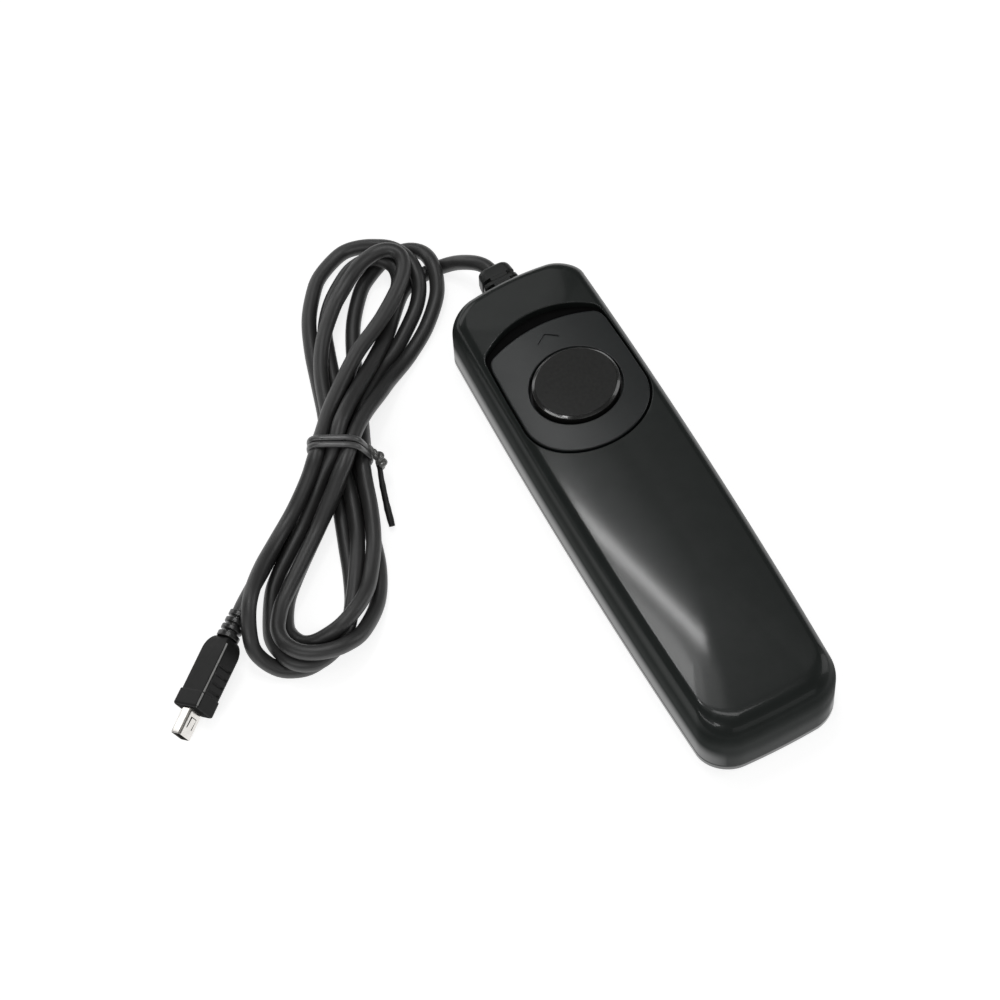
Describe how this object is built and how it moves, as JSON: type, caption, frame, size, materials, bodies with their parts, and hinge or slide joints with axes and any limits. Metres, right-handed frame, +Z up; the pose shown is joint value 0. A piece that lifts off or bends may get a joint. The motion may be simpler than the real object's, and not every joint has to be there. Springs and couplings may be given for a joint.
{
  "type": "cable shutter release",
  "caption": "Wired handheld remote for a camera shutter: slim handset with a push button in a lock slide, boot, folded cable with a twist tie, and a small metal-shelled plug.",
  "frame": {"origin": "middle of the handset's underside, the cable and what is on it left out", "axes": "+Z up out of the button face, +Y along the handset towards the cable end, +X to the right with the button face towards you and the cable end away from you"},
  "size_m": [0.1098, 0.133, 0.0171],
  "materials": {
    "casing_plastic": "satin-gloss injection-moulded ABS, faint cool grey cast",
    "button_plastic": "fine satin ABS with a polished bevel",
    "acetal": "natural acetal",
    "inner_plastic": "plain moulded ABS",
    "insulator": "phenolic laminate",
    "screw_steel": "zinc plated",
    "spring_bronze": "rolled phosphor bronze",
    "contact_silver": "silver rivet",
    "contact_gold": "gold flash",
    "solder": "bright solder fillet",
    "boot_rubber": "moulded PVC, satin",
    "cable_jacket": "soft PVC jacket, satin",
    "tie_plastic": "PVC-coated wire",
    "plug_plastic": "moulded PVC grip",
    "plug_nickel": "nickel-plated pressed steel",
    "wire_grey": "thin PVC insulation",
    "wire_yellow": "thin PVC insulation",
    "wire_red": "thin PVC insulation"
  },
  "bodies": {
    "handset": {"top_shell": "casing_plastic", "bottom_cover": "casing_plastic", "case_screws": "screw_steel", "slide_friction_spring": "spring_bronze", "release_leaf": "spring_bronze", "release_contact": "contact_silver", "common_terminal": "spring_bronze", "focus_terminal": "spring_bronze", "leaf_insulators": "insulator", "clamp_plate": "screw_steel", "stack_screws": "screw_steel", "switch_base": "inner_plastic", "cable_clamp": "inner_plastic", "clamp_screws": "screw_steel", "cable_boot": "boot_rubber", "cable_inner_end": "cable_jacket", "ground_wire": "wire_grey", "focus_wire": "wire_yellow", "release_wire": "wire_red", "solder_joints": "solder", "cable_lead": "cable_jacket", "cable_hank": "cable_jacket", "cable_plug_lead": "cable_jacket", "twist_tie": "tie_plastic", "twist_tie_knot": "tie_plastic", "twist_tie_tail": "tie_plastic", "plug_strain_relief": "boot_rubber", "plug_grip": "plug_plastic", "plug_shell": "plug_nickel", "plug_insulator": "inner_plastic", "plug_contacts": "contact_gold"},
    "lock_slide": {"lock_slide": "casing_plastic", "slide_frame": "acetal", "frame_screws": "screw_steel"},
    "shutter_button": {"shutter_button": "button_plastic"},
    "common_leaf": {"common_leaf": "spring_bronze", "common_contact": "contact_silver"},
    "focus_leaf": {"focus_leaf": "spring_bronze", "focus_contact": "contact_silver"}
  },
  "joints": [
    {"name": "slide_lock", "type": "slide", "parent": "handset", "child": "lock_slide", "axis": [0, 1, 0], "range_m": [0, 0.0016]},
    {"name": "button_press", "type": "slide", "parent": "lock_slide", "child": "shutter_button", "axis": [0, 0, -1], "range_m": [0, 0.0015], "stiffness_N_per_m": 800, "springref_m": -0.0004},
    {"name": "common_leaf_bend", "type": "hinge", "parent": "handset", "child": "common_leaf", "pos_m": [0, 0.0018, 0.00975], "axis": [-1, 0, 0], "range_deg": [0, 3.9]},
    {"name": "focus_leaf_bend", "type": "hinge", "parent": "handset", "child": "focus_leaf", "pos_m": [0, 0.0018, 0.00775], "axis": [-1, 0, 0], "range_deg": [0, 2]}
  ],
  "couplings": [
    {"joint": "common_leaf_bend", "follows": "button_press", "rad_per_m": 44.84},
    {"joint": "focus_leaf_bend", "follows": "button_press", "rad_per_m": 22.42}
  ]
}
